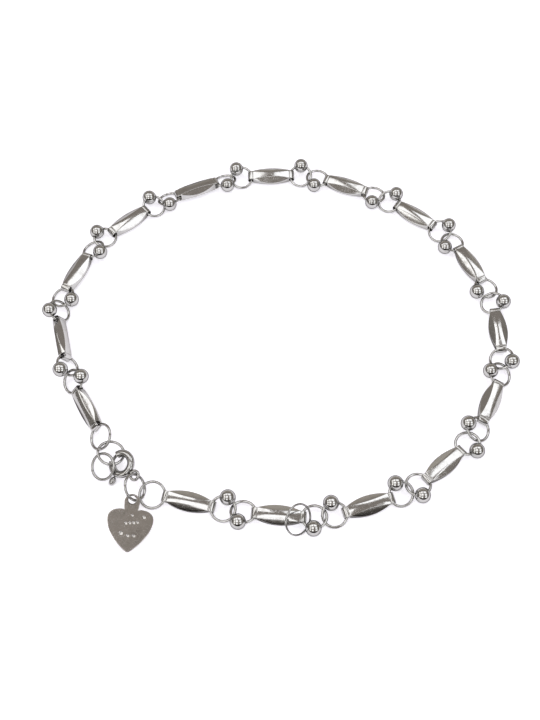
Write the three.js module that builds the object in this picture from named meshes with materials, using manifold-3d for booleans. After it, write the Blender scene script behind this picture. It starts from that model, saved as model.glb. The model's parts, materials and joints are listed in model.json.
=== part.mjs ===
// Bracelet of pillow-shaped bar links joined by pairs of ball rings, closed by a spring ring
// with a heart tag. It lies as an open loop on a flat surface. Millimetres, +Z up.
import * as THREE from 'three';
import { mergeVertices } from 'three/addons/utils/BufferGeometryUtils.js';
import Module from 'manifold-3d';

const wasm = await Module();
wasm.setup();

// Bar links
const BAR_LENGTH = 8.5;
const BAR_WIDTH = 3.1;
const BAR_THICKNESS = 1.9;
const BAND_WIDTH = 1.7;
const BAND_WAIST = 1.15;
const CHAMFER = 0.05;
const EDGE_HEIGHT = 0.5;
const FACET_HALF_LENGTH = 3.3;
const KNUCKLE_RADIUS = 0.75;
const HOLE_INSET = 0.6;
const HOLE_RADIUS = 0.5;
const MOUTH_RADIUS = 0.68;
const HOLE_PITCH = BAR_LENGTH - 2 * HOLE_INSET;

// Rings and balls
const WIRE = 0.45;
const BALL_RING_RADIUS = 1.9;
const BALL_RADIUS = 1.25;
const JUMP_RING_RADIUS = 2.03;
const JUMP_RING_WIRE = 0.44;
const SIDE_RING_RADIUS = 2.4;
const SIDE_RING_WIRE = 0.32;
const HOLE_REACH = BALL_RING_RADIUS - 0.1;
const RING_SPACING = 3.14;
const TABLE_CLEARANCE = 0.03;

// Spring ring
const TUBE_PATH_RADIUS = 1.68;
const TUBE_RADIUS = 0.57;
const TUBE_BORE = 0.36;
const GATE_RADIUS = 0.25;
const GAP_START = 157;
const GAP_END = 203;
const GATE_TIP = 151;
const KNOB_ANGLE = 278;
const KNOB_REACH = 3.04;
const KNOB_HALF_LENGTH = 0.75;
const KNOB_HALF_WIDTH = 0.5;
const STALK_RADIUS = 0.16;
const SLOT_START = 270;
const SLOT_END = 337;
const SLOT_WIDTH = 0.46;
const EYELET_RADIUS = 0.7;
const EYELET_WIRE = 0.46;
const EYELET_REACH = 3.1;

// Heart tag
const HEART_WIDTH = 7.1;
const HEART_HEIGHT = 6.4;
const HEART_THICKNESS = 0.55;
const HEART_BEVEL = 0.08;
const EAR_HEIGHT = 1.14;
const EAR_RADIUS = 1.2;
const EAR_HOLE_RADIUS = 0.6;
const EAR_HOLE_HEIGHT = 1.45;

// The loop, bar by bar from the clasp: the turn from the bar before, the roll of the bar and the
// tilt of its two rings (outer side up is positive), and how far round each ring its ball sits
// from the point where the two rings meet. All in degrees.
const FIRST_BAR = { x: -27.8, y: -12.6, heading: 120 };
const LINKS = [
  { turn: 0, roll: -45, ringIn: 0, ringOut: -39, ballIn: 0, ballOut: 96 },
  { turn: -16, roll: 60, ringIn: 42, ringOut: 42, ballIn: 60, ballOut: 102 },
  { turn: -38, roll: -8, ringIn: -18, ringOut: -24, ballIn: 78, ballOut: 96 },
  { turn: -26, roll: 3, ringIn: 6, ringOut: 18, ballIn: 84, ballOut: 84 },
  { turn: -17, roll: -8, ringIn: -24, ringOut: -24, ballIn: 72, ballOut: 90 },
  { turn: -21, roll: 10, ringIn: 24, ringOut: 27, ballIn: 66, ballOut: 90 },
  { turn: -23, roll: 9, ringIn: -6, ringOut: -9, ballIn: 84, ballOut: 78 },
  { turn: -16, roll: 7, ringIn: 24, ringOut: 24, ballIn: 102, ballOut: 72 },
  { turn: -26, roll: 6, ringIn: -9, ringOut: -9, ballIn: 96, ballOut: 84 },
  { turn: -25, roll: 9, ringIn: 24, ringOut: 24, ballIn: 102, ballOut: 66 },
  { turn: -27, roll: -12, ringIn: -27, ringOut: -24, ballIn: 96, ballOut: 84 },
  { turn: -25, roll: 0, ringIn: 6, ringOut: 6, ballIn: 90, ballOut: 72 },
  { turn: -22, roll: -11, ringIn: -27, ringOut: -24, ballIn: 96, ballOut: 84 },
  { turn: -23, roll: -8, ringIn: 6, ringOut: 12, ballIn: 96, ballOut: 72 },
  { turn: -8, roll: -10, ringIn: -24, ringOut: 0, ballIn: 78, ballOut: 0 },
];

const SILVER = { color: 0xc6c3bf, roughness: 0.12, metalness: 1 };
const rad = THREE.MathUtils.degToRad;
const UP = new THREE.Vector3(0, 0, 1);

// Solids and joins

function solid(geometry) {
  const bare = geometry.index ? geometry.toNonIndexed() : geometry.clone();
  bare.deleteAttribute('normal');
  bare.deleteAttribute('uv');
  const merged = mergeVertices(bare, 1e-4);
  const corners = merged.index.array;
  const faces = [];
  for (let i = 0; i < corners.length; i += 3) {
    const [a, b, c] = [corners[i], corners[i + 1], corners[i + 2]];
    if (a !== b && b !== c && c !== a) {
      faces.push(a, b, c);
    }
  }
  const vertProperties = new Float32Array(merged.attributes.position.array);
  return new wasm.Manifold(new wasm.Mesh({ numProp: 3, vertProperties, triVerts: new Uint32Array(faces) }));
}

function geometryOf(body) {
  const mesh = body.getMesh();
  const geometry = new THREE.BufferGeometry();
  geometry.setAttribute('position', new THREE.BufferAttribute(new Float32Array(mesh.vertProperties), 3));
  geometry.setIndex(new THREE.BufferAttribute(new Uint32Array(mesh.triVerts), 1));
  geometry.computeVertexNormals();
  return geometry;
}

// A piece is set down by where its centre goes and where its own X and Y point.
const group = new THREE.Group();

function place(name, geometry, look, centre, xAxis, yAxis) {
  const mesh = new THREE.Mesh(geometry, new THREE.MeshStandardMaterial(look));
  const x = xAxis.clone().normalize();
  const z = x.clone().cross(yAxis).normalize();
  const y = z.clone().cross(x);
  mesh.name = name;
  mesh.position.copy(centre);
  mesh.quaternion.setFromRotationMatrix(new THREE.Matrix4().makeBasis(x, y, z));
  group.add(mesh);
  return mesh;
}

// Bar link: a band top and bottom that narrows to a waist, between cut facets down each side
// that are widest at mid-length and run out at the ends. Each end is a round knuckle, drilled
// crosswise.

function barSection(x) {
  const along = Math.abs(x);
  const swell = Math.max(0, 1 - (along / FACET_HALF_LENGTH) ** 2);
  const knuckleCentre = BAR_LENGTH / 2 - KNUCKLE_RADIUS;
  const shoulder = 2;
  let half = BAR_THICKNESS / 2;
  if (along > knuckleCentre) {
    half = Math.sqrt(Math.max(0, KNUCKLE_RADIUS ** 2 - (along - knuckleCentre) ** 2));
  } else if (along > shoulder) {
    half += (KNUCKLE_RADIUS - half) * (along - shoulder) / (knuckleCentre - shoulder);
  }
  half = Math.max(half, 0.2);
  const band = BAND_WIDTH / 2 - CHAMFER - (BAND_WIDTH - BAND_WAIST) / 2 * swell;
  const side = BAND_WIDTH / 2 + (BAR_WIDTH - BAND_WIDTH) / 2 * swell;
  const edge = (half - 0.07) * (1 - swell) + EDGE_HEIGHT / 2 * swell;
  return { half, band, side, edge };
}

function barGeometry() {
  const stations = [-4.25, -4.03, -3.5, -2.1, 0, 2.1, 3.5, 4.03, 4.25];
  const position = [];
  for (const x of stations) {
    const { half, band, side, edge } = barSection(x);
    position.push(x, side, -edge, x, side, edge, x, band, half, x, -band, half);
    position.push(x, -side, edge, x, -side, -edge, x, -band, -half, x, band, -half);
  }
  const index = [];
  for (let s = 0; s < stations.length - 1; s += 1) {
    for (let k = 0; k < 8; k += 1) {
      const a = s * 8 + k;
      const b = s * 8 + (k + 1) % 8;
      index.push(a, b, a + 8, b, b + 8, a + 8);
    }
  }
  const last = (stations.length - 1) * 8;
  for (let k = 1; k < 7; k += 1) {
    index.push(0, k + 1, k);
    index.push(last, last + k, last + k + 1);
  }
  const geometry = new THREE.BufferGeometry();
  geometry.setAttribute('position', new THREE.Float32BufferAttribute(position, 3));
  geometry.setIndex(index);
  return geometry;
}

function holeGeometry(x) {
  const half = BAND_WIDTH / 2 + 0.15;
  const outline = [
    new THREE.Vector2(0, -half),
    new THREE.Vector2(MOUTH_RADIUS, -half),
    new THREE.Vector2(HOLE_RADIUS, 0),
    new THREE.Vector2(MOUTH_RADIUS, half),
    new THREE.Vector2(0, half),
  ];
  return new THREE.LatheGeometry(outline, 8).translate(x, 0, 0);
}

const barBody = solid(barGeometry())
  .subtract(solid(holeGeometry(HOLE_PITCH / 2)))
  .subtract(solid(holeGeometry(-HOLE_PITCH / 2)));
const barShape = geometryOf(barBody);

// Ball ring: one wire ring with its ball soldered on. The ball sits on the ring's own +X.

const ballRingBody = solid(new THREE.TorusGeometry(BALL_RING_RADIUS, WIRE / 2, 6, 14))
  .add(solid(new THREE.SphereGeometry(BALL_RADIUS, 10, 6).translate(BALL_RING_RADIUS, 0, 0)));
const ballRingShape = geometryOf(ballRingBody);
const jumpRingShape = new THREE.TorusGeometry(JUMP_RING_RADIUS, JUMP_RING_WIRE / 2, 6, 18);
const sideRingShape = new THREE.TorusGeometry(SIDE_RING_RADIUS, SIDE_RING_WIRE / 2, 6, 20);

// How high the middle of a rolled bar stands when its lowest edge is on the surface
function restHeight(roll) {
  const drop = (y, z) => y * Math.abs(Math.sin(roll)) + z * Math.abs(Math.cos(roll));
  const heights = [0, 2.1, 3.5].map((x) => {
    const { half, band, side, edge } = barSection(x);
    return Math.max(drop(band, half), drop(side, edge));
  });
  return Math.max(...heights) + 0.01;
}

function headingVector(angle) {
  return new THREE.Vector3(Math.cos(angle), Math.sin(angle), 0);
}

// How high a tilted ring's middle stands when its wire or its ball is on the surface
function ringHeight(tilt, ball) {
  const rise = BALL_RING_RADIUS * Math.abs(Math.sin(tilt));
  return Math.max(rise + WIRE / 2, BALL_RADIUS - rise * Math.sin(ball)) + TABLE_CLEARANCE;
}

// A ring through a bar's end: forward runs from the hole to the ring's middle, and the ring is
// tilted about that line. The ball goes to the high side, or with a negative angle the low one.
function placeBallRing(name, centre, forward, tilt, ball, outer) {
  const across = UP.clone().cross(forward).normalize().multiplyScalar(outer);
  const raised = across.clone().applyAxisAngle(forward, outer * tilt);
  const side = Math.sign(tilt);
  const ballLine = forward.clone().multiplyScalar(Math.cos(rad(ball)));
  ballLine.addScaledVector(raised, side * Math.sin(rad(ball)));
  const tangent = forward.clone().multiplyScalar(-Math.sin(rad(ball)));
  tangent.addScaledVector(raised, side * Math.cos(rad(ball)));
  place(name, ballRingShape, SILVER, centre, ballLine, tangent);
}

// Head and tail are a bar's two holes, far from the clasp and near it.
let heading = rad(FIRST_BAR.heading);
let tail = new THREE.Vector3(FIRST_BAR.x, FIRST_BAR.y, restHeight(rad(LINKS[0].roll)));
let head = tail;

LINKS.forEach((link, i) => {
  const roll = rad(link.roll);
  const number = String(i + 1).padStart(2, '0');
  if (i > 0) {
    const turn = rad(link.turn);
    const old = heading;
    heading += turn;
    const before = LINKS[i - 1];
    const tiltA = rad(before.ringOut);
    const tiltB = rad(link.ringIn);
    const ownHeight = restHeight(roll);
    const headingA = headingVector(old + turn / 4);
    const headingB = headingVector(heading - turn / 4);
    const centreA = head.clone().addScaledVector(headingA, HOLE_REACH);
    centreA.z = Math.max(head.z, ringHeight(tiltA, rad(before.ballOut)));
    const centreB = centreA.clone().addScaledVector(headingVector(old + turn / 2), RING_SPACING);
    centreB.z = Math.max(ownHeight, ringHeight(tiltB, rad(link.ballIn)));
    tail = centreB.clone().addScaledVector(headingB, HOLE_REACH);
    tail.z = ownHeight;
    const forwardA = centreA.clone().sub(head).normalize();
    const forwardB = centreB.clone().sub(tail).normalize();
    const previous = String(i).padStart(2, '0');
    placeBallRing(`ball_ring_${previous}_out`, centreA, forwardA, tiltA, before.ballOut, 1);
    placeBallRing(`ball_ring_${number}_in`, centreB, forwardB, tiltB, link.ballIn, -1);
  }
  const along = headingVector(heading);
  const across = UP.clone().cross(along).applyAxisAngle(along, roll);
  const centre = tail.clone().addScaledVector(along, HOLE_PITCH / 2);
  head = tail.clone().addScaledVector(along, HOLE_PITCH);
  place(`bar_link_${number}`, barShape, SILVER, centre, along, across);
});

// Free rings are set down by their middle, how far they lean from lying flat, and which way the
// raised face looks (degrees round from +X).
const JUMP_RINGS = [
  { name: 'jump_ring_bar_01', x: -26.91, y: -14.57, z: 1.52, lean: 37, toward: 197 },
  { name: 'jump_ring_catch', x: -25.01, y: -17.53, z: 1.85, lean: 14, toward: 23 },
  { name: 'jump_ring_spare', x: -26.15, y: -19.65, z: 1.44, lean: 33, toward: 218 },
  { name: 'jump_ring_tag', x: -20.83, y: -23.38, z: 2.14, lean: 50, toward: 355 },
  { name: 'jump_ring_bar_15', x: -18.24, y: -24.15, z: 0.93, lean: 20, toward: 247 },
];

function placeRing(name, geometry, spot) {
  const lean = rad(spot.lean);
  const toward = headingVector(rad(spot.toward));
  const normal = UP.clone().multiplyScalar(Math.cos(lean)).addScaledVector(toward, Math.sin(lean));
  const x = UP.clone().cross(toward);
  place(name, geometry, SILVER, new THREE.Vector3(spot.x, spot.y, spot.z), x, normal.cross(x));
}

JUMP_RINGS.forEach((spot) => placeRing(spot.name, jumpRingShape, spot));

// Spring ring: a bent tube with a gap, an eyelet soldered on its outside, and a slot along its
// outside for the knob. Angles run round from the eyelet.

function arcPath(radius, from, to) {
  const path = new THREE.Curve();
  path.getPoint = (t) => {
    const angle = rad(from + (to - from) * t);
    return new THREE.Vector3(radius * Math.cos(angle), radius * Math.sin(angle), 0);
  };
  return path;
}

function roundProfile(radius) {
  return new THREE.Shape().absarc(0, 0, radius, 0, 2 * Math.PI, false);
}

function bentRod(pathRadius, rodRadius, from, to, steps, sides) {
  const extrudePath = arcPath(pathRadius, from, to);
  return new THREE.ExtrudeGeometry(roundProfile(rodRadius), { steps, curveSegments: sides, extrudePath });
}

function springRingGeometry() {
  const tube = solid(bentRod(TUBE_PATH_RADIUS, TUBE_RADIUS, GAP_END - 360, GAP_START, 16, 10));
  const bore = solid(bentRod(TUBE_PATH_RADIUS, TUBE_BORE, GAP_END - 364, GAP_START + 4, 16, 8));
  const eyelet = new THREE.TorusGeometry(EYELET_RADIUS, EYELET_WIRE / 2, 6, 12);
  const slot = new THREE.Shape();
  slot.absarc(0, 0, TUBE_PATH_RADIUS + TUBE_RADIUS + 0.2, rad(SLOT_START), rad(SLOT_END), false);
  slot.absarc(0, 0, TUBE_PATH_RADIUS + 0.2, rad(SLOT_END), rad(SLOT_START), true);
  const slotSettings = { depth: SLOT_WIDTH, bevelEnabled: false, curveSegments: 5 };
  const slotCut = new THREE.ExtrudeGeometry(slot, slotSettings);
  slotCut.translate(0, 0, -SLOT_WIDTH / 2);
  const body = tube
    .add(solid(eyelet.translate(EYELET_REACH, 0, 0)))
    .subtract(bore)
    .subtract(solid(slotCut));
  return geometryOf(body);
}

// Trigger: the curved gate wire that closes the gap, with the knob that draws it back

function triggerGeometry() {
  const gate = solid(bentRod(TUBE_PATH_RADIUS, GATE_RADIUS, GATE_TIP, KNOB_ANGLE + 6, 10, 7));
  const knobLine = headingVector(rad(KNOB_ANGLE));
  const stalk = new THREE.CylinderGeometry(STALK_RADIUS, STALK_RADIUS, KNOB_REACH - TUBE_PATH_RADIUS, 6);
  stalk.translate(0, (KNOB_REACH + TUBE_PATH_RADIUS) / 2, 0).rotateZ(rad(KNOB_ANGLE - 90));
  const knob = new THREE.SphereGeometry(1, 10, 6).scale(KNOB_HALF_LENGTH, KNOB_HALF_WIDTH, KNOB_HALF_WIDTH);
  knob.rotateZ(rad(KNOB_ANGLE)).translate(knobLine.x * KNOB_REACH, knobLine.y * KNOB_REACH, 0);
  return geometryOf(gate.add(solid(stalk)).add(solid(knob)));
}

// The spring ring is set down by its middle; the eyelet's direction is in degrees round from +X.
const SPRING_RING = { x: -23.21, y: -19.36, z: 1.84, lean: 28, toward: 209, eyelet: -39 };

function placeOnPlane(name, geometry, spot) {
  const lean = rad(spot.lean);
  const normal = headingVector(rad(spot.toward)).multiplyScalar(Math.sin(lean));
  normal.z = Math.cos(lean);
  const east = new THREE.Vector3(1, 0, 0).projectOnPlane(normal).normalize();
  const x = east.clone().applyAxisAngle(normal, rad(spot.eyelet));
  place(name, geometry, SILVER, new THREE.Vector3(spot.x, spot.y, spot.z), x, normal.clone().cross(x));
}

placeOnPlane('spring_ring_body', springRingGeometry(), SPRING_RING);
placeOnPlane('spring_ring_trigger', triggerGeometry(), SPRING_RING);

// Heart tag: a flat heart with a drilled ear standing in its notch. Its own zero is the notch.

function heartGeometry() {
  const w = HEART_WIDTH / 2;
  const h = HEART_HEIGHT;
  const outline = new THREE.Shape();
  outline.moveTo(0.5, -h + 0.14);
  outline.quadraticCurveTo(w * 0.6, -h * 0.81, w * 0.8, -h * 0.56);
  outline.bezierCurveTo(w * 0.97, -h * 0.43, w * 1.03, -h * 0.27, w * 0.96, -h * 0.14);
  outline.bezierCurveTo(w * 0.87, -h * 0.05, w * 0.66, 0, w * 0.42, 0);
  outline.lineTo(EAR_RADIUS - 0.1, 0);
  outline.absarc(0, EAR_HEIGHT, EAR_RADIUS, rad(-10), rad(190), false);
  outline.lineTo(0.1 - EAR_RADIUS, 0);
  outline.lineTo(-w * 0.42, 0);
  outline.bezierCurveTo(-w * 0.66, 0, -w * 0.87, -h * 0.05, -w * 0.96, -h * 0.14);
  outline.bezierCurveTo(-w * 1.03, -h * 0.27, -w * 0.97, -h * 0.43, -w * 0.8, -h * 0.56);
  outline.quadraticCurveTo(-w * 0.6, -h * 0.81, -0.5, -h + 0.14);
  outline.quadraticCurveTo(0, -h - 0.14, 0.5, -h + 0.14);
  const hole = new THREE.Path();
  hole.absarc(0, EAR_HOLE_HEIGHT, EAR_HOLE_RADIUS, 0, 2 * Math.PI, true);
  outline.holes.push(hole);
  const geometry = new THREE.ExtrudeGeometry(outline, {
    depth: HEART_THICKNESS - 2 * HEART_BEVEL,
    bevelThickness: HEART_BEVEL,
    bevelSize: HEART_BEVEL,
    bevelOffset: -HEART_BEVEL,
    bevelSegments: 1,
    curveSegments: 5,
  });
  return geometry.translate(0, -EAR_HOLE_HEIGHT, HEART_BEVEL - HEART_THICKNESS / 2);
}

// The tag is set down by its ear hole. Its tip rests on the surface, its ear is raised and it
// leans a little to the right.
const TAG = { x: -21.09, y: -25.43, z: 2.16, raise: 13.7, turn: -4, lean: 11 };
const tagAcross = headingVector(rad(TAG.turn));
const tagUp = headingVector(rad(TAG.turn + 90)).applyAxisAngle(tagAcross, rad(TAG.raise));
tagAcross.applyAxisAngle(tagUp, rad(TAG.lean));
place('heart_tag', heartGeometry(), SILVER, new THREE.Vector3(TAG.x, TAG.y, TAG.z), tagAcross, tagUp);

// A thinner plain ring hangs from the ball ring at the tail of the fourteenth bar.
placeRing('side_ring', sideRingShape, { x: 4.19, y: -28.6, z: 2.12, lean: 51, toward: -37 });

// The middle of the outline, at the height of the surface, is zero.
group.updateMatrixWorld(true);
const bounds = new THREE.Box3().setFromObject(group, true);
const middle = bounds.getCenter(new THREE.Vector3());
group.children.forEach((mesh) => {
  mesh.position.sub(new THREE.Vector3(middle.x, middle.y, bounds.min.z));
});

export default group;
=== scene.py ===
import json
import math

import bmesh
import bpy
import numpy as np
from mathutils import Matrix, Vector


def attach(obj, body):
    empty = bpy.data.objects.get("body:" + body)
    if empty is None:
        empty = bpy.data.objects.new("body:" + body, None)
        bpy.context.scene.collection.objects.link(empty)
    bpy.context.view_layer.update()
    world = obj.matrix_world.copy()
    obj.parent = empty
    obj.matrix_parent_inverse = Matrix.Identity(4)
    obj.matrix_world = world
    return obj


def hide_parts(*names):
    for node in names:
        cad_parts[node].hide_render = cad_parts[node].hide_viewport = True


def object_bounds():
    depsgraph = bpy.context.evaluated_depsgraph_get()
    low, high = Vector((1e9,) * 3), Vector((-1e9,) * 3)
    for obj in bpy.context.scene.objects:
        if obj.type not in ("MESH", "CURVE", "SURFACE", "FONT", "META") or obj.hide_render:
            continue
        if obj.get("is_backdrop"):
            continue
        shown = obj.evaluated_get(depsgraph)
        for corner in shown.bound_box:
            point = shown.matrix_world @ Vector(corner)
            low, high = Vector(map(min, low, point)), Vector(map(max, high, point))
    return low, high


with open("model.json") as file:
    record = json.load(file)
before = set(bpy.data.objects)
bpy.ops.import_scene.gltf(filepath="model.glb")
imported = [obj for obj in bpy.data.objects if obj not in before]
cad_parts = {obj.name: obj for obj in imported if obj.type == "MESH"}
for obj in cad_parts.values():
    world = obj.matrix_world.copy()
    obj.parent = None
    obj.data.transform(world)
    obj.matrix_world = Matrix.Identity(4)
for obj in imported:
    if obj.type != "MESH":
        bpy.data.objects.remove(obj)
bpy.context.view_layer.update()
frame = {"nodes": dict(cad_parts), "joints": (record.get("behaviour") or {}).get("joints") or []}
mm = 0.001
NEAR = 0.002 * mm


# ---------------------------------------------------------------------------------------------
# Bar links. Fifteen solid bars of sterling silver, cast as long pillows. Each has a band along
# its top and its underside and four flat facets filed down its flanks, which swell to a narrow
# girdle at mid-length. Each end is turned to a knuckle and drilled crosswise for a ring.

BAR_CREST = 0.95 * mm
CREST_FALL = 0.2 * mm
BAR_CROWN = 0.055
BAR_WAIST = 0.575 * mm
BAR_END_HALF_WIDTH = 0.85 * mm
BAR_SWELL = 0.7 * mm
GIRDLE_HEIGHT = 0.25 * mm
FACET_HALF_LENGTH = 3.3 * mm
KNUCKLE = 0.75 * mm
KNUCKLE_AT = 3.5 * mm
GROOVE_AT = 3.4 * mm
GROOVE_HALF_WIDTH = 0.13 * mm
GROOVE_DEPTH = 0.07 * mm
BAR_HOLE_AT = 3.65 * mm
BAR_HOLE = 0.495 * mm
HOLE_STRAIGHT = 0.62 * mm
HOLE_FLARE = 0.185 * mm
HOLE_FLARE_DEPTH = 0.235 * mm
BAR_CHAMFER = 0.05 * mm
BAR_EDGE_ROUND = 0.03 * mm
PLAIN_HALF_LENGTH = 3.2 * mm


def select_only(obj):
    """Leaves object mode's selection on one object, which is also the active one."""
    bpy.ops.object.select_all(action="DESELECT")
    obj.select_set(True)
    bpy.context.view_layer.objects.active = obj


def edit():
    bpy.ops.object.mode_set(mode="EDIT")


def leave_edit():
    bpy.ops.object.mode_set(mode="OBJECT")


def pick(kind, rule):
    """In edit mode, selects the vertices, edges or faces that a rule allows, and no others."""
    bpy.ops.mesh.select_mode(type=kind)
    bpy.ops.mesh.select_all(action="DESELECT")
    mesh = bmesh.from_edit_mesh(bpy.context.edit_object.data)
    mesh.normal_update()
    parts = {"VERT": mesh.verts, "EDGE": mesh.edges, "FACE": mesh.faces}[kind]
    for part in parts:
        part.select_set(bool(rule(part)))
    mesh.select_flush_mode()
    bmesh.update_edit_mesh(bpy.context.edit_object.data)


def heal():
    """Merges what lies together and turns every face outwards."""
    bpy.ops.mesh.select_all(action="SELECT")
    bpy.ops.mesh.remove_doubles(threshold=0.001 * mm)
    bpy.ops.mesh.normals_make_consistent(inside=False)


def combine(body, tool, operation):
    """Cuts a tool out of a body, or joins it on, and does away with the tool."""
    select_only(body)
    bpy.ops.object.modifier_add(type="BOOLEAN")
    step = body.modifiers[-1]
    step.operation = operation
    step.object = tool
    step.solver = "EXACT"
    bpy.ops.object.modifier_apply(modifier=step.name)
    bpy.data.objects.remove(tool)


def weigh_normals(body):
    """Lets the larger faces lead the shading where faces meet, and keeps sharp edges crisp."""
    bpy.ops.object.modifier_add(type="WEIGHTED_NORMAL")
    step = body.modifiers[-1]
    step.keep_sharp = True
    bpy.ops.object.modifier_apply(modifier=step.name)


def soften(body, angle):
    """Smooth shading that keeps flat faces flat and edges past the angle crisp."""
    select_only(body)
    bpy.ops.object.shade_smooth_by_angle(angle=math.radians(angle))
    weigh_normals(body)


def bar_section(x):
    """Half sizes of a bar at a station: band height, band width, girdle width, girdle height."""
    along = abs(x)
    swell = max(0.0, 1 - (along / FACET_HALF_LENGTH) ** 2)
    body_crest = BAR_CREST - CREST_FALL * (along / KNUCKLE_AT) ** 2
    if along > KNUCKLE_AT:
        crest = math.sqrt(max(KNUCKLE**2 - (along - KNUCKLE_AT) ** 2, 0))
    else:
        crest = body_crest
    from_groove = abs(along - GROOVE_AT) / GROOVE_HALF_WIDTH
    if from_groove < 1:
        crest -= GROOVE_DEPTH * (1 + math.cos(math.pi * from_groove)) / 2
    edge = crest * (1 - BAR_CROWN)
    top_edge = BAR_CREST * (1 - BAR_CROWN)
    slope = (top_edge - GIRDLE_HEIGHT) / (BAR_END_HALF_WIDTH + BAR_SWELL - BAR_WAIST)
    side = BAR_END_HALF_WIDTH + BAR_SWELL * swell
    band = min(BAR_END_HALF_WIDTH - BAR_CHAMFER, BAR_WAIST + (top_edge - edge) / slope)
    girdle = min(max(edge - BAR_CHAMFER, edge * 0.5), top_edge - slope * (side - BAR_WAIST))
    return edge, band, side, girdle


def bar_stations():
    """Where the section is set along a bar: round the knuckle, through the groove, the body."""
    turns = (9, 20, 32, 44, 56, 68, 80)
    knuckle = [KNUCKLE_AT + KNUCKLE * math.cos(math.radians(turn)) for turn in turns]
    groove = [GROOVE_AT + GROOVE_HALF_WIDTH * k / 4 for k in (3, 2, 1, 0, -1, -2, -3, -4)]
    body = [PLAIN_HALF_LENGTH * k / 12 for k in range(12, -1, -1)]
    half = knuckle + groove + body
    return [-x for x in half[:-1]] + half[::-1]


# The end face is a plate with nine points along its top and nine along its underside. It is drawn
# out from station to station: the seven inner ones follow the band, the outer two the girdle.
stations = bar_stations()
edge, band, side, girdle = bar_section(stations[0])
bpy.ops.mesh.primitive_plane_add(size=1, location=(stations[0], 0, 0), rotation=(0, -math.pi / 2, 0))
bar = bpy.context.object
bpy.ops.object.transform_apply()
edit()
bpy.ops.transform.resize(value=(1, 8 * band / 3, 2 * edge), center_override=(stations[0], 0, 0))
pick("EDGE", lambda e: abs(e.verts[0].co.y - e.verts[1].co.y) > band)
bpy.ops.mesh.subdivide(number_cuts=7)
for share in (0, 1 / 3, 2 / 3):
    pick("VERT", lambda v: abs(abs(v.co.y) - share * band) < band / 10)
    rise = 1 + BAR_CROWN * (1 - share**2)
    bpy.ops.transform.resize(value=(1, 1, rise), center_override=(stations[0], 0, 0))
pick("VERT", lambda v: abs(v.co.y) > 1.2 * band)
to_girdle = (1, 0.75 * side / band, girdle / edge)
bpy.ops.transform.resize(value=to_girdle, center_override=(stations[0], 0, 0))
for here, there in zip(stations, stations[1:]):
    pick("FACE", lambda f: all(abs(v.co.x - here) < NEAR for v in f.verts))
    bpy.ops.mesh.extrude_region_move(TRANSFORM_OT_translate={"value": (there - here, 0, 0)})
    old_edge, old_band, old_side, old_girdle = edge, band, side, girdle
    edge, band, side, girdle = bar_section(there)
    between = (old_band + old_side) / 2
    band_change = (False, band / old_band, edge / old_edge)
    girdle_change = (True, side / old_side, girdle / old_girdle)
    for outer, wide, high in (band_change, girdle_change):
        pick("VERT", lambda v: abs(v.co.x - there) < NEAR and (abs(v.co.y) > between) == outer)
        bpy.ops.transform.resize(value=(1, wide, high), center_override=(there, 0, 0))
heal()


def runs_along(edge_line):
    """Whether an edge runs along the bar, between two facets."""
    start, end = edge_line.verts
    lengthwise = abs(start.co.x - end.co.x) > 0.9 * edge_line.calc_length()
    return lengthwise and edge_line.calc_face_angle(0) > math.radians(20)


pick("EDGE", runs_along)
bpy.ops.mesh.bevel(offset=BAR_EDGE_ROUND, segments=3, affect="EDGES", clamp_overlap=False)
leave_edit()

# Each hole is cut by a drill that is straight inside and flares like a trumpet to both flanks.
for end in (-1, 1):
    bpy.ops.mesh.primitive_cylinder_add(
        vertices=48,
        radius=BAR_HOLE,
        depth=2 * HOLE_STRAIGHT,
        location=(end * BAR_HOLE_AT, 0, 0),
        rotation=(math.pi / 2, 0, 0),
    )
    drill = bpy.context.object
    bpy.ops.object.transform_apply()
    edit()
    for flank in (-1, 1):
        reach, radius = HOLE_STRAIGHT, BAR_HOLE
        for turn in (18, 36, 54, 72, 86):
            pick("FACE", lambda f: abs(f.calc_center_median().y - flank * reach) < NEAR)
            next_reach = HOLE_STRAIGHT + HOLE_FLARE_DEPTH * math.sin(math.radians(turn))
            next_radius = BAR_HOLE + HOLE_FLARE * (1 - math.cos(math.radians(turn)))
            advance = (0, flank * (next_reach - reach), 0)
            bpy.ops.mesh.extrude_region_move(TRANSFORM_OT_translate={"value": advance})
            grow = next_radius / radius
            centre = (end * BAR_HOLE_AT, flank * next_reach, 0)
            bpy.ops.transform.resize(value=(grow, 1, grow), center_override=centre)
            reach, radius = next_reach, next_radius
    leave_edit()
    combine(bar, drill, "DIFFERENCE")
soften(bar, 40)


def linear(hex_colour):
    """An sRGB hex colour as the linear RGBA that a shader takes."""
    parts = [int(hex_colour[i : i + 2], 16) / 255 for i in (1, 3, 5)]
    return [c / 12.92 if c <= 0.04045 else ((c + 0.055) / 1.055) ** 2.4 for c in parts] + [1.0]


def add(material, kind, settings=None, inputs=None):
    """Adds a node to a material, with its settings and with its inputs set or linked."""
    tree = material.node_tree
    node = tree.nodes.new(kind)
    for name, value in (settings or {}).items():
        setattr(node, name, value)
    for name, value in (inputs or {}).items():
        if isinstance(value, bpy.types.NodeSocket):
            tree.links.new(value, node.inputs[name])
        else:
            node.inputs[name].default_value = value
    return node


def new_material(name):
    material = bpy.data.materials.new(name)
    material.use_nodes = True
    material.node_tree.nodes.clear()
    return material


def surface(material, shader):
    """Makes a shader node the material's surface."""
    add(material, "ShaderNodeOutputMaterial", inputs={"Surface": shader.outputs[0]})


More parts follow.
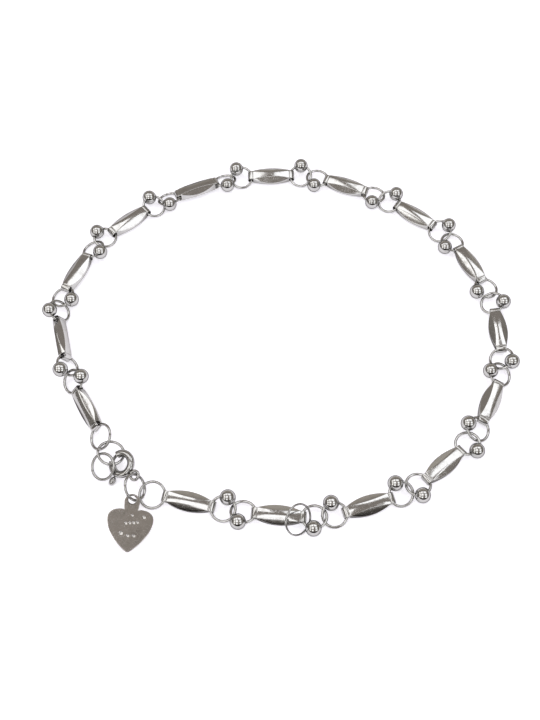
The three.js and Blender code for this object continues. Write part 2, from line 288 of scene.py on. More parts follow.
# Sterling silver, buffed or rolled bright and then worn. To the eye it is a mirror with a slow
# unevenness, fine scratches and dull clouds, and it is darker in every hollow, partly from tarnish
# and partly from painted shade. A real scratch is a few microns wide. These are about ten times
# that, so that they show at all.
def worn_silver_with_painted_shade(
    name, bright, tarnish_and_shade_colour, rim, roughness, smudge, hairline, hairline_depth, wave, wave_depth, hollow
):
    silver = new_material(name)
    place = add(silver, "ShaderNodeTexCoord").outputs["Object"]
    patches = add(
        silver,
        "ShaderNodeTexNoise",
        inputs={"Vector": place, "Scale": 1 / smudge, "Detail": 5.0, "Roughness": 0.62},
    )
    lines = None
    for angle in (12, 74, 131):
        turn = (0.3, 0.2, math.radians(angle))
        stretch = (40 * hairline, hairline, 8 * hairline)
        turned = add(
            silver,
            "ShaderNodeMapping",
            {"vector_type": "TEXTURE"},
            {"Vector": place, "Rotation": turn, "Scale": stretch},
        )
        noise = add(
            silver,
            "ShaderNodeTexNoise",
            inputs={"Vector": turned.outputs[0], "Scale": 1.0, "Detail": 2.0},
        )
        line = add(
            silver,
            "ShaderNodeMapRange",
            inputs={"Value": noise.outputs[0], "From Min": 0.66, "From Max": 0.74},
        ).outputs[0]
        if lines is None:
            lines = line
        else:
            both = add(silver, "ShaderNodeMath", {"operation": "MAXIMUM"}, {0: lines, 1: line})
            lines = both.outputs[0]
    # Painted shade, with some tarnish: where an occlusion measure finds the piece hidden by its own
    # nearby parts, in hollows, seats and cuts, the colour is darkened towards the tarnish tone.
    shaded = add(
        silver,
        "ShaderNodeAmbientOcclusion",
        {"only_local": True, "samples": 6},
        {"Distance": hollow},
    )
    tarnish_and_painted_shade = add(
        silver,
        "ShaderNodeMapRange",
        inputs={
            "Value": shaded.outputs["AO"],
            "From Min": 0.25,
            "From Max": 0.9,
            "To Min": 1.0,
            "To Max": 0.0,
        },
    )
    clouded = add(
        silver,
        "ShaderNodeMapRange",
        inputs={"Value": patches.outputs[0], "From Min": 0.5, "From Max": 0.75, "To Max": 0.35},
    )
    clouds_and_painted_shade = add(
        silver,
        "ShaderNodeMath",
        {"operation": "MAXIMUM"},
        {0: tarnish_and_painted_shade.outputs[0], 1: clouded.outputs[0]},
    )
    colour = add(
        silver,
        "ShaderNodeMix",
        {"data_type": "RGBA"},
        {0: clouds_and_painted_shade.outputs[0], 6: linear(bright), 7: linear(tarnish_and_shade_colour)},
    )
    rough = add(
        silver,
        "ShaderNodeMapRange",
        inputs={
            "Value": patches.outputs[0],
            "From Min": 0.35,
            "From Max": 0.7,
            "To Min": roughness[0],
            "To Max": roughness[1],
        },
    )
    rough_lines = add(
        silver,
        "ShaderNodeMath",
        {"operation": "MULTIPLY_ADD"},
        {0: lines, 1: 0.12, 2: rough.outputs[0]},
    )
    rolling = add(
        silver,
        "ShaderNodeTexNoise",
        inputs={"Vector": place, "Scale": 1 / wave, "Detail": 2.0},
    )
    relief = add(
        silver,
        "ShaderNodeBump",
        inputs={"Height": rolling.outputs[0], "Distance": wave_depth, "Strength": 1.0},
    )
    scored = add(
        silver,
        "ShaderNodeBump",
        {"invert": True},
        {"Height": lines, "Distance": hairline_depth, "Strength": 1.0, "Normal": relief.outputs[0]},
    )
    surface(
        silver,
        add(
            silver,
            "ShaderNodeBsdfPrincipled",
            inputs={
                "Base Color": colour.outputs[2],
                "Metallic": 1.0,
                "Specular Tint": linear(rim),
                "Roughness": rough_lines.outputs[0],
                "Normal": scored.outputs[0],
            },
        ),
    )
    return silver


# Cast bars, filed and buffed by hand. They are the brightest of the pieces, a little wavy, with
# soft grey where the file marks were not quite buffed away.
# Painted shade, with some tarnish, darkens the holes and the grooves by the knuckles.
bar_silver = worn_silver_with_painted_shade(
    "buffed_sterling_silver_bars",
    bright="#C0BFBD",
    tarnish_and_shade_colour="#857F77",
    rim="#6A6866",
    roughness=(0.05, 0.17),
    smudge=1.6 * mm,
    hairline=0.05 * mm,
    hairline_depth=0.0015 * mm,
    wave=1.8 * mm,
    wave_depth=0.012 * mm,
    hollow=0.35 * mm,
)
bar.data.materials.append(bar_silver)


def stance(node):
    """A CAD node's centre, its three main directions, longest first, and its vertices."""
    mesh = frame["nodes"][node].data
    mesh.calc_loop_triangles()
    points = np.array([v.co for v in mesh.vertices], float)
    middle = points.mean(0)
    corners = points[np.array([t.vertices for t in mesh.loop_triangles])] - middle
    a, b, c = corners[:, 0], corners[:, 1], corners[:, 2]
    six_volumes = np.einsum("ij,ij->i", a, np.cross(b, c))
    volume = six_volumes.sum() / 6
    total = a + b + c
    centre = (six_volumes[:, None] * total).sum(0) / 24 / volume
    spread = sum(np.einsum("n,ni,nj->ij", six_volumes, v, v) for v in (a, b, c, total)) / 120 / volume
    spread -= np.outer(centre, centre)
    directions = np.linalg.eigh(spread)[1].T[::-1]
    return Vector(centre + middle), [Vector(d) for d in directions], points


def basis(x, y, z, centre):
    """The matrix that sets a master piece down with its own axes along x, y and z."""
    return Matrix.Translation(centre) @ Matrix((x, y, z)).transposed().to_4x4()


def set_down(master, name, node, matrix, body="bracelet"):
    """A copy of a master piece with a mesh of its own, in the place of a CAD node."""
    select_only(master)
    bpy.ops.object.duplicate()
    copy = bpy.context.object
    copy.name = name
    copy.data.name = name
    copy.matrix_world = matrix
    bpy.ops.object.transform_apply()
    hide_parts(node)
    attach(copy, body)
    return copy


for number in range(1, 16):
    node = f"bar_link_{number:02d}"
    centre, (long_way, across, up), _ = stance(node)
    up = up if up.z > 0 else -up
    across = up.cross(long_way)
    set_down(bar, f"pillow_bar_{number:02d}", node, basis(long_way, across, up, centre))
bpy.data.objects.remove(bar)


# ---------------------------------------------------------------------------------------------
# Ball rings. Between bars hang two rings of hard-drawn silver wire, each with a solid ball on
# it. The ring's two ends are pushed into drilled seats in the ball and soldered there.

RING_RADIUS = 1.9 * mm
WIRE_RADIUS = 0.225 * mm
BALL_RADIUS = 1.24 * mm
SEAT_RADIUS = 0.31 * mm
SEAT_INNER_ANGLE = 27
SEAT_SWEEP = 16
SEAT_LIP = 0.035 * mm

bpy.ops.mesh.primitive_uv_sphere_add(
    segments=72, ring_count=44, radius=BALL_RADIUS, location=(RING_RADIUS, 0, 0)
)
ball_ring = bpy.context.object
bpy.ops.object.transform_apply()
# Spin turns clockwise about +Z, so an arc that runs the other way takes a negative angle.
for way in (-1, 1):
    angle = way * math.radians(SEAT_INNER_ANGLE)
    bpy.ops.mesh.primitive_circle_add(
        vertices=32,
        radius=SEAT_RADIUS,
        fill_type="NGON",
        location=(RING_RADIUS * math.cos(angle), RING_RADIUS * math.sin(angle), 0),
        rotation=(math.pi / 2, 0, angle),
    )
    seat = bpy.context.object
    bpy.ops.object.transform_apply()
    edit()
    bpy.ops.mesh.select_all(action="SELECT")
    sweep = -way * math.radians(SEAT_SWEEP)
    bpy.ops.mesh.spin(steps=8, angle=sweep, center=(0, 0, 0), axis=(0, 0, 1))
    heal()
    leave_edit()
    combine(ball_ring, seat, "DIFFERENCE")
edit()
pick("EDGE", lambda e: e.calc_face_angle(0) > math.radians(40))
bpy.ops.mesh.bevel(offset=SEAT_LIP, segments=3, affect="EDGES", clamp_overlap=False)
leave_edit()
bpy.ops.mesh.primitive_torus_add(
    major_segments=120, minor_segments=24, major_radius=RING_RADIUS, minor_radius=WIRE_RADIUS
)
wire = bpy.context.object
bpy.ops.object.transform_apply()
combine(ball_ring, wire, "UNION")
soften(ball_ring, 40)

# Balls tumbled to a mirror and wire drawn hard and bright. Painted shade, with some tarnish,
# darkens the seats and where the wire goes in nearly to black.
ball_silver = worn_silver_with_painted_shade(
    "tumbled_sterling_silver_wire_and_balls",
    bright="#BCBBB9",
    tarnish_and_shade_colour="#4A453F",
    rim="#2E2D2C",
    roughness=(0.03, 0.09),
    smudge=0.8 * mm,
    hairline=0.04 * mm,
    hairline_depth=0.002 * mm,
    wave=1.0 * mm,
    wave_depth=0.004 * mm,
    hollow=0.42 * mm,
)
ball_ring.data.materials.append(ball_silver)

# The ball outweighs its ring, so what lies farthest from the centre of mass is the ring's plain
# side, and the ball is the other way.
ball_nodes = sorted(n for n in frame["nodes"] if n.startswith("ball_ring_"))
for node in ball_nodes:
    centroid, (to_ball, _, normal), points = stance(node)
    reach = (points - np.array(centroid)) @ np.array(to_ball)
    if abs(reach.max()) > abs(reach.min()):
        to_ball, reach = -to_ball, -reach
    centre = centroid + to_ball * (reach.min() + RING_RADIUS + WIRE_RADIUS)
    name = node.replace("ball_ring", "wire_ring_with_ball")
    place = basis(to_ball, normal.cross(to_ball), normal, centre)
    set_down(ball_ring, name, node, place)
bpy.data.objects.remove(ball_ring)


# ---------------------------------------------------------------------------------------------
# Plain rings. The clasp end is made up of five open jump rings, and one finer ring hangs by the
# fourteenth bar. Each is a turn of wire off a rod, sawn through and closed edge to edge.

JUMP_RING_RADIUS = 2.03 * mm
JUMP_WIRE_RADIUS = 0.22 * mm
SIDE_RING_RADIUS = 2.4 * mm
SIDE_WIRE_RADIUS = 0.16 * mm
SAW_CUT = 0.04 * mm
SAW_EDGE_ROUND = 0.02 * mm


def plain_ring(radius, wire_radius):
    """An open ring, drawn clockwise from one side of the saw cut on its own +X to the other."""
    half_cut = SAW_CUT / 2 / radius
    bpy.ops.mesh.primitive_circle_add(
        vertices=24,
        radius=wire_radius,
        fill_type="NGON",
        location=(radius * math.cos(half_cut), radius * math.sin(half_cut), 0),
        rotation=(math.pi / 2, 0, half_cut),
    )
    ring = bpy.context.object
    bpy.ops.object.transform_apply()
    edit()
    bpy.ops.mesh.select_all(action="SELECT")
    turn = 2 * half_cut - 2 * math.pi
    bpy.ops.mesh.spin(steps=120, angle=turn, center=(0, 0, 0), axis=(0, 0, 1))
    heal()
    pick("EDGE", lambda e: e.calc_face_angle(0) > math.radians(60))
    bpy.ops.mesh.bevel(offset=SAW_EDGE_ROUND, segments=2, affect="EDGES", clamp_overlap=False)
    leave_edit()
    soften(ring, 40)
    ring.data.materials.append(wire_silver)
    return ring


def on_plane(node, toward):
    """Where a ring node lies, with its own +X turned as near as may be to a direction."""
    centre, (_, _, normal), _ = stance(node)
    normal = normal if normal.z > 0 else -normal
    x = (toward - normal * toward.dot(normal)).normalized()
    return basis(x, normal.cross(x), normal, centre)


# Drawn wire wound on a rod by hand, so its round is a little uneven and glints all along it.
# Painted shade, with some tarnish, darkens the saw cut.
wire_silver = worn_silver_with_painted_shade(
    "drawn_silver_ring_wire",
    bright="#B4B3B1",
    tarnish_and_shade_colour="#4A453F",
    rim="#2E2D2C",
    roughness=(0.04, 0.12),
    smudge=0.6 * mm,
    hairline=0.05 * mm,
    hairline_depth=0.004 * mm,
    wave=0.5 * mm,
    wave_depth=0.02 * mm,
    hollow=0.3 * mm,
)
jump_ring = plain_ring(JUMP_RING_RADIUS, JUMP_WIRE_RADIUS)
# The way that each ring's sawn joint faces, seen from above.
joint_sides = {
    "bar_01": (1, 1, 0),
    "catch": (-1, 0.4, 0),
    "spare": (-1, -0.3, 0),
    "tag": (0.2, -1, 0),
    "bar_15": (0.3, 1, 0),
}
for ending, toward in joint_sides.items():
    node = f"jump_ring_{ending}"
    place = on_plane(node, Vector(toward))
    set_down(jump_ring, f"open_ring_{ending}", node, place)
bpy.data.objects.remove(jump_ring)
side_ring = plain_ring(SIDE_RING_RADIUS, SIDE_WIRE_RADIUS)
place = on_plane("side_ring", Vector((0.5, 1, 0)))
set_down(side_ring, "fine_side_ring", "side_ring", place)
bpy.data.objects.remove(side_ring)


# ---------------------------------------------------------------------------------------------
# Spring ring body. A silver tube bent nearly to a full ring, open at a gap for the gate. A seam
# runs round its inside, a slot for the knob is milled along its outside, and an eyelet of wire
# is soldered to it. Angles run round from the eyelet.

TUBE_PATH = 1.68 * mm
TUBE_RADIUS = 0.57 * mm
TUBE_BORE = 0.36 * mm
TUBE_REACH = 2.4 * mm
BORE_PAST_GAP = 4
END_ROUND = 0.03 * mm
GAP = (157, 203)
SEAM = 0.03 * mm
SEAM_DEPTH = 0.025 * mm
SLOT = (276, 331)
SLOT_HALF_WIDTH = 0.23 * mm
SLOT_MIDDLE = TUBE_PATH + TUBE_RADIUS - 0.12 * mm
SLOT_CUTTER = 0.6 * mm
EYELET_RADIUS = 0.7 * mm
EYELET_WIRE = 0.23 * mm
EYELET_AT = 3.1 * mm
SOLDER = 0.3 * mm
SOLDER_AT = TUBE_PATH + TUBE_RADIUS + 0.1 * mm
SOLDER_SPREAD = (0.6, 1.45, 0.8)


def bent_rod(path_radius, radius, start, end, steps, sides):
    """A round rod bent to an arc about the origin, closed at both ends."""
    first = math.radians(start)
    bpy.ops.mesh.primitive_circle_add(
        vertices=sides,
        radius=radius,
        fill_type="NGON",
        location=(path_radius * math.cos(first), path_radius * math.sin(first), 0),
        rotation=(math.pi / 2, 0, first),
    )
    rod = bpy.context.object
    bpy.ops.object.transform_apply()
    edit()
    bpy.ops.mesh.select_all(action="SELECT")
    turn = math.radians(start - end)
    bpy.ops.mesh.spin(steps=steps, angle=turn, center=(0, 0, 0), axis=(0, 0, 1))
    heal()
    leave_edit()
    return rod


spring_ring = bent_rod(TUBE_PATH, TUBE_RADIUS, GAP[1] - 360, GAP[0], 120, 40)
bpy.ops.mesh.primitive_torus_add(
    major_segments=72,
    minor_segments=24,
    major_radius=EYELET_RADIUS,
    minor_radius=EYELET_WIRE,
    location=(EYELET_AT, 0, 0),
)
eyelet = bpy.context.object
bpy.ops.object.transform_apply()
combine(spring_ring, eyelet, "UNION")
bpy.ops.mesh.primitive_uv_sphere_add(
    segments=32, ring_count=20, radius=SOLDER, location=(SOLDER_AT, 0, 0)
)
solder = bpy.context.object
bpy.ops.transform.resize(value=SOLDER_SPREAD, center_override=(SOLDER_AT, 0, 0))
bpy.ops.object.transform_apply()
combine(spring_ring, solder, "UNION")
bore_ends = (GAP[1] - 360 - BORE_PAST_GAP, GAP[0] + BORE_PAST_GAP)
bore = bent_rod(TUBE_PATH, TUBE_BORE, *bore_ends, 96, 28)
combine(spring_ring, bore, "DIFFERENCE")
bpy.ops.mesh.primitive_torus_add(
    major_segments=120,
    minor_segments=8,
    major_radius=TUBE_PATH - TUBE_RADIUS - SEAM + SEAM_DEPTH,
    minor_radius=SEAM,
)
seam = bpy.context.object
bpy.ops.object.transform_apply()
combine(spring_ring, seam, "DIFFERENCE")
first = math.radians(SLOT[0])
bpy.ops.mesh.primitive_plane_add(
    size=2 * SLOT_HALF_WIDTH,
    location=(SLOT_MIDDLE * math.cos(first), SLOT_MIDDLE * math.sin(first), 0),
    rotation=(math.pi / 2, 0, first),
)
slot_tool = bpy.context.object
bpy.ops.object.transform_apply()
edit()
bpy.ops.mesh.select_all(action="SELECT")
sweep = math.radians(SLOT[0] - SLOT[1])
bpy.ops.mesh.spin(steps=32, angle=sweep, center=(0, 0, 0), axis=(0, 0, 1))
heal()
leave_edit()
combine(spring_ring, slot_tool, "DIFFERENCE")
# The cutter that rounds the slot's ends is a shade finer than the slot, so that no faces meet.
for slot_end in SLOT:
    turn = math.radians(slot_end)
    bpy.ops.mesh.primitive_cylinder_add(
        vertices=30,
        radius=0.985 * SLOT_HALF_WIDTH,
        depth=SLOT_CUTTER,
        location=(SLOT_MIDDLE * math.cos(turn), SLOT_MIDDLE * math.sin(turn), 0),
        rotation=(0, math.pi / 2, turn),
    )
    slot_tool = bpy.context.object
    bpy.ops.object.transform_apply()
    combine(spring_ring, slot_tool, "DIFFERENCE")


def on_tube(edge_line):
    """Whether a sharp edge is one of the tube's own and not one of the eyelet's."""
    farthest = max(v.co.length for v in edge_line.verts)
    return edge_line.calc_face_angle(0) > math.radians(50) and farthest < TUBE_REACH


edit()
pick("EDGE", on_tube)
bpy.ops.mesh.bevel(offset=END_ROUND, segments=2, affect="EDGES", clamp_overlap=True)
leave_edit()
soften(spring_ring, 42)

# Rolled tube and drawn wire, bright where rubbed, darkened by tarnish and painted shade down the slot
# and the seam.
clasp_silver = worn_silver_with_painted_shade(
    "rolled_silver_clasp_tube",
    bright="#B0AFAD",
    tarnish_and_shade_colour="#433E38",
    rim="#2E2D2C",
    roughness=(0.03, 0.09),
    smudge=0.7 * mm,
    hairline=0.04 * mm,
    hairline_depth=0.003 * mm,
    wave=0.9 * mm,
    wave_depth=0.006 * mm,
    hollow=0.3 * mm,
)
spring_ring.data.materials.append(clasp_silver)

# The trigger turns about the ring's own middle, so its joint gives the ring's place and tilt.
joint = frame["joints"][0]
ring_middle = Vector(joint["pos_m"])
ring_normal = Vector(joint["axis"]).normalized()
body_points = [Vector(v.co) for v in frame["nodes"]["spring_ring_body"].data.vertices]
eyelet_end = max(body_points, key=lambda p: (p - ring_middle).length)
to_eyelet = eyelet_end - ring_middle
to_eyelet = (to_eyelet - ring_normal * to_eyelet.dot(ring_normal)).normalized()
ring_place = basis(to_eyelet, ring_normal.cross(to_eyelet), ring_normal, ring_middle)
set_down(spring_ring, "tube_ring_with_eyelet", "spring_ring_body", ring_place)
bpy.data.objects.remove(spring_ring)


# ---------------------------------------------------------------------------------------------
# Trigger. The gate is a wire that slides inside the tube and closes the gap. A short stalk up
# through the slot carries a small oval knob for the thumbnail, with grips filed across it.

GATE_RADIUS = 0.25 * mm
GATE = (151, 284)
GATE_END_ROUND = 0.07 * mm
KNOB_AT = 278
KNOB_REACH = 3.04 * mm
KNOB_HALF_LENGTH = 0.74 * mm
KNOB_HALF_WIDTH = 0.49 * mm
STALK_RADIUS = 0.16 * mm
FILE_RADIUS = 0.052 * mm
FILE_LENGTH = 1.2 * mm
FILE_CUTS = (-0.37 * mm, -0.19 * mm, -0.01 * mm, 0.17 * mm, 0.35 * mm)

trigger = bent_rod(TUBE_PATH, GATE_RADIUS, GATE[0], GATE[1], 40, 24)
edit()
pick("EDGE", lambda e: e.calc_face_angle(0) > math.radians(60))
bpy.ops.mesh.bevel(offset=GATE_END_ROUND, segments=3, affect="EDGES", clamp_overlap=False)
heal()
leave_edit()
knob_turn = math.radians(KNOB_AT)
stalk_middle = (TUBE_PATH + KNOB_REACH) / 2
bpy.ops.mesh.primitive_cylinder_add(
    vertices=24,
    radius=STALK_RADIUS,
    depth=KNOB_REACH - TUBE_PATH,
    location=(stalk_middle * math.cos(knob_turn), stalk_middle * math.sin(knob_turn), 0),
    rotation=(0, math.pi / 2, knob_turn),
)
stalk = bpy.context.object
bpy.ops.object.transform_apply()
combine(trigger, stalk, "UNION")
bpy.ops.mesh.primitive_uv_sphere_add(
    segments=48,
    ring_count=28,
    radius=1,
    location=(KNOB_REACH * math.cos(knob_turn), KNOB_REACH * math.sin(knob_turn), 0),
    rotation=(0, 0, knob_turn),
    scale=(KNOB_HALF_LENGTH, KNOB_HALF_WIDTH, KNOB_HALF_WIDTH),
)
knob = bpy.context.object
bpy.ops.object.transform_apply()
for along in FILE_CUTS:
    reach = KNOB_REACH + along
    height = KNOB_HALF_WIDTH * math.sqrt(1 - (along / KNOB_HALF_LENGTH) ** 2)
    for face in (-1, 1):
        bpy.ops.mesh.primitive_cylinder_add(
            vertices=15,
            radius=FILE_RADIUS,
            depth=FILE_LENGTH,
            location=(reach * math.cos(knob_turn), reach * math.sin(knob_turn), face * height),
            rotation=(math.pi / 2, 0, knob_turn),
        )
        file_cut = bpy.context.object
        bpy.ops.object.transform_apply()
        combine(knob, file_cut, "DIFFERENCE")
combine(trigger, knob, "UNION")
soften(trigger, 42)
# The same drawn and rolled silver as the tube that it slides in.
trigger.data.materials.append(clasp_silver)
set_down(trigger, "gate_wire_with_knob", "spring_ring_trigger", ring_place, "trigger")
bpy.data.objects.remove(trigger)


# ---------------------------------------------------------------------------------------------
# Heart tag. A heart stamped from silver sheet with its edge filed to a bevel, and an ear in its
# notch, drilled and countersunk for its ring. Small punch marks are all that its face carries.

HEART_WIDTH = 7.1 * mm
HEART_HEIGHT = 6.4 * mm
HEART_THICKNESS = 0.55 * mm
HEART_BEVEL = 0.1 * mm
EAR_MIDDLE = 1.14 * mm
EAR_RADIUS = 1.2 * mm
EAR_HOLE_AT = 1.45 * mm
EAR_HOLE = 0.6 * mm
COUNTERSINK = 0.16 * mm
COUNTERSINK_REST = 0.07 * mm
PUNCH_RISE = 0.7
CURVE_STEPS = 14

# The right-hand outline from the ear to the tip, in half widths across and heights down: each
# row is a curve, as the point where it starts, its two handles and the point where it ends.
HEART_EDGE = [
    ((0.31, 0.0), (0.34, 0.0), (0.38, 0.0), (0.42, 0.0)),
    ((0.42, 0.0), (0.66, 0.0), (0.86, -0.04), (0.95, -0.14)),
    ((0.95, -0.14), (1.04, -0.24), (0.95, -0.42), (0.81, -0.56)),
    ((0.81, -0.56), (0.67, -0.7), (0.4, -0.87), (0.141, -0.98)),
    ((0.141, -0.98), (0.094, -1.0), (0.047, -1.01), (0.0, -1.01)),
]

# Each punch mark in millimetres: across from the middle, down from the notch, and the radius of
# the round punch, which is driven in to three tenths of that.
PUNCH_MARKS = [
    (-0.6, -2.2, 0.38),
    (-0.02, -2.12, 0.36),
    (0.56, -2.04, 0.38),
    (1.12, -1.95, 0.34),
    (-1.2, -3.75, 0.5),
    (-0.15, -4.05, 0.38),
    (0.75, -4.0, 0.42),
    (2.05, -1.1, 0.42),
    (0.25, -0.95, 0.3),
]


def bezier(points, share):
    """A point along a cubic curve."""
    a, b, c, d = (Vector((x * HEART_WIDTH / 2, y * HEART_HEIGHT, 0)) for x, y in points)
    rest = 1 - share
    return a * rest**3 + 3 * b * share * rest**2 + 3 * c * share**2 * rest + d * share**3


# The ear is round from its top to just under its widest, and then runs down into the notch.
right_edge = []
for angle in range(90, -11, -4):
    turn = math.radians(angle)
    across, up = EAR_RADIUS * math.cos(turn), EAR_RADIUS * math.sin(turn)
    right_edge.append(Vector((across, EAR_MIDDLE + up, 0)))
for piece in HEART_EDGE:
    right_edge += [bezier(piece, k / CURVE_STEPS) for k in range(CURVE_STEPS)]
right_edge.append(bezier(HEART_EDGE[-1], 1))
outline = right_edge + [Vector((-p.x, p.y, 0)) for p in right_edge[-2:0:-1]]

shape = bpy.data.curves.new("heart", "CURVE")
shape.dimensions = "2D"
shape.fill_mode = "BOTH"
line = shape.splines.new("POLY")
line.points.add(len(outline) - 1)
for point, at in zip(line.points, outline):
    point.co = (*at, 1)
line.use_cyclic_u = True
heart = bpy.data.objects.new("heart", shape)
bpy.context.scene.collection.objects.link(heart)
select_only(heart)
bpy.ops.object.convert(target="MESH")
heart = bpy.context.object
edit()
heal()
bpy.ops.mesh.dissolve_limited(angle_limit=math.radians(1), use_dissolve_boundaries=False)
bpy.ops.mesh.select_all(action="SELECT")
bpy.ops.transform.translate(value=(0, 0, -HEART_THICKNESS / 2))
bpy.ops.mesh.extrude_region_move(TRANSFORM_OT_translate={"value": (0, 0, HEART_THICKNESS)})
heal()


def on_rim(edge_line):
    """Whether an edge is where a flat face of the tag meets its side."""
    start, end = edge_line.verts
    level = abs(start.co.z - end.co.z) < NEAR
    return level and edge_line.calc_face_angle(0) > math.radians(80)


pick("EDGE", on_rim)
bpy.ops.mesh.bevel(offset=HEART_BEVEL, segments=3, affect="EDGES", clamp_overlap=False)
heal()
leave_edit()
bpy.ops.mesh.primitive_cylinder_add(
    vertices=64, radius=EAR_HOLE, depth=2 * HEART_THICKNESS, location=(0, EAR_HOLE_AT, 0)
)
drill = bpy.context.object
bpy.ops.object.transform_apply()
combine(heart, drill, "DIFFERENCE")
for face in (-1, 1):
    bpy.ops.mesh.primitive_cone_add(
        vertices=64,
        radius1=EAR_HOLE + COUNTERSINK,
        radius2=EAR_HOLE,
        depth=COUNTERSINK,
        location=(0, EAR_HOLE_AT, face * (HEART_THICKNESS / 2 - COUNTERSINK_REST)),
        rotation=(math.pi if face > 0 else 0, 0, 0),
    )
    countersink = bpy.context.object
    bpy.ops.object.transform_apply()
    combine(heart, countersink, "DIFFERENCE")
for across, down, radius in PUNCH_MARKS:
    bpy.ops.mesh.primitive_uv_sphere_add(
        segments=28,
        ring_count=18,
        radius=radius * mm,
        location=(across * mm, down * mm, HEART_THICKNESS / 2 + PUNCH_RISE * radius * mm),
    )
    punch = bpy.context.object
    bpy.ops.object.transform_apply()
    combine(heart, punch, "DIFFERENCE")
soften(heart, 40)
select_only(heart)
edit()
pick("EDGE", lambda e: sum(abs(f.normal.z) > 0.9999 for f in e.link_faces) == 1)
bpy.ops.mesh.mark_sharp()
leave_edit()
weigh_normals(heart)

# Sheet silver, rolled flat and left satin by wear, with fine scratches every way.
# Painted shade, with some tarnish, darkens the countersinks and the punch marks.
tag_silver = worn_silver_with_painted_shade(
    "rolled_sheet_silver_tag",
    bright="#CFCCC8",
    tarnish_and_shade_colour="#6F675E",
    rim="#A9A6A2",
    roughness=(0.09, 0.15),
    smudge=2.2 * mm,
    hairline=0.04 * mm,
    hairline_depth=0.0006 * mm,
    wave=4.0 * mm,
    wave_depth=0.001 * mm,
    hollow=0.25 * mm,
)
heart.data.materials.append(tag_silver)

# The tag leans with its ear up on its ring, so its higher end is the ear.
heart_middle, (tall_way, wide_way, flat_way), points = stance("heart_tag")
if flat_way.z < 0:
    flat_way = -flat_way
reach = (points - np.array(heart_middle)) @ np.array(tall_way)
one_end = points[reach > 0.9 * reach.max()].mean(0)
other_end = points[reach < 0.9 * reach.min()].mean(0)
if one_end[2] < other_end[2]:
    tall_way, reach = -tall_way, -reach
wide_way = tall_way.cross(flat_way)
notch = heart_middle + tall_way * (reach.max() - EAR_MIDDLE - EAR_RADIUS)
set_down(heart, "stamped_heart", "heart_tag", basis(wide_way, tall_way, flat_way, notch))
bpy.data.objects.remove(heart)


# ---------------------------------------------------------------------------------------------
# The surface that the bracelet lies on, the soft light over it, and the camera.

TABLE_SIZE = 3
TABLE_TOP = -0.02 * mm
CARD_GRAIN = 0.4 * mm

bpy.ops.mesh.primitive_plane_add(size=TABLE_SIZE, location=(0, 0, TABLE_TOP))
floor = bpy.context.object
floor.name = "white_table"

# White matt board, lit so well that only a trace of each shadow is left, with a faint grain.
card = new_material("white_matt_board")
grain = add(card, "ShaderNodeTexNoise", inputs={"Scale": 1 / CARD_GRAIN, "Detail": 3.0})
shade = add(
    card,
    "ShaderNodeMix",
    {"data_type": "RGBA"},
    {0: grain.outputs[0], 6: linear("#F3F2F8"), 7: linear("#F8F7FC")},
)
surface(
    card,
    add(
        card,
        "ShaderNodeBsdfPrincipled",
        inputs={
            "Base Color": shade.outputs[2],
            "Roughness": 0.7,
            "Emission Color": linear("#F6F5FA"),
            "Emission Strength": 0.5,
        },
    ),
)
floor.data.materials.append(card)
floor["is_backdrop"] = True

# Light panels in three rows and three columns, by the angle up from the horizon at -Y, over the
# top, and by the angle to the side, each with its half width that way.
PANEL_ROWS = [
    (110, 14, ((-45, 10), (-17, 13), (22, 19))),
    (72, 14, ((-45, 10), (-11, 15), (38, 13))),
    (37, 11, ((-45, 10), (-11, 10), (38, 13))),
]
PANEL_TINTS = ("#FBFCFC", "#FAFCFF", "#F6FAFF")
PANEL_GLOW = 1.8
PANEL_DISTANCE = 0.6
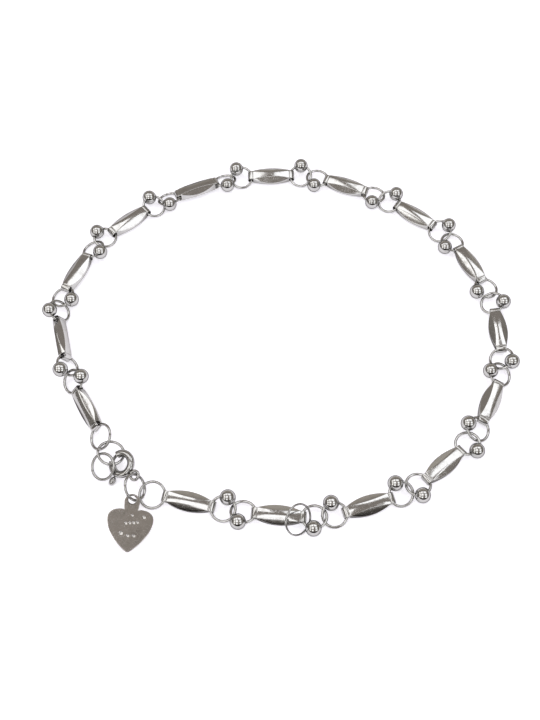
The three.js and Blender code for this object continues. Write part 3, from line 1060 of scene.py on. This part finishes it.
for row_angle, row_half, columns in PANEL_ROWS:
    for (column_angle, column_half), tint in zip(columns, PANEL_TINTS):
        up, aside = math.radians(row_angle), math.radians(column_angle)
        lean = math.cos(aside)
        direction = Vector((math.sin(aside), -math.cos(up) * lean, math.sin(up) * lean))
        lamp = bpy.data.lights.new("panel", "AREA")
        lamp.shape = "RECTANGLE"
        lamp.size = 2 * PANEL_DISTANCE * math.tan(math.radians(column_half))
        lamp.size_y = 2 * PANEL_DISTANCE * math.tan(math.radians(row_half)) * lean
        lamp.color = linear(tint)[:3]
        lamp.energy = PANEL_GLOW * math.pi * lamp.size * lamp.size_y
        panel = bpy.data.objects.new("panel", lamp)
        bpy.context.scene.collection.objects.link(panel)
        tilt = math.sin(aside)
        x = Vector((lean, math.cos(up) * tilt, -math.sin(up) * tilt))
        panel.matrix_world = basis(x, direction.cross(x), direction, direction * PANEL_DISTANCE)
        panel.visible_camera = False

# The room round the table, by direction: near black behind the viewer, pale on the far side and
# mid grey elsewhere.
room = bpy.data.worlds.new("grey_room")
bpy.context.scene.world = room
room.use_nodes = True
room.node_tree.nodes.clear()
facing = add(room, "ShaderNodeTexCoord").outputs["Generated"]
split = add(room, "ShaderNodeSeparateXYZ", inputs={"Vector": facing})
tone = linear("#1A1918")
# Each row is an axis, where along it a tone starts and is whole, and the tone.
for axis, starts, whole, colour in (
    ("Y", -0.9, -0.7, "#8A8681"),
    ("Y", 0.45, 0.85, "#C9C3BA"),
    ("Z", 0.25, 0.55, "#9E9791"),
):
    part = add(
        room,
        "ShaderNodeMapRange",
        inputs={"Value": split.outputs[axis], "From Min": starts, "From Max": whole},
    )
    toned = add(
        room,
        "ShaderNodeMix",
        {"data_type": "RGBA"},
        {0: part.outputs[0], 6: tone, 7: linear(colour)},
    )
    tone = toned.outputs[2]
sky = add(room, "ShaderNodeBackground", inputs={"Color": tone, "Strength": 1.0})
add(room, "ShaderNodeOutputWorld", inputs={"Surface": sky.outputs[0]})

AIM = Vector((-1.41, -3.94, 0)) * mm
CAMERA_HEIGHT_ANGLE = math.radians(61)
CAMERA_DISTANCE = 167 * mm
lens = bpy.data.cameras.new("camera")
lens.lens = 50
lens.sensor_width = 36
lens.clip_start = 5 * mm
lens.clip_end = 10
camera = bpy.data.objects.new("camera", lens)
bpy.context.scene.collection.objects.link(camera)
to_camera = Vector((0, -math.cos(CAMERA_HEIGHT_ANGLE), math.sin(CAMERA_HEIGHT_ANGLE)))
camera.location = AIM + CAMERA_DISTANCE * to_camera
camera.rotation_euler = (math.pi / 2 - CAMERA_HEIGHT_ANGLE, 0, 0)
bpy.context.scene.camera = camera
bpy.context.scene.view_settings.view_transform = "Standard"

low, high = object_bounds()
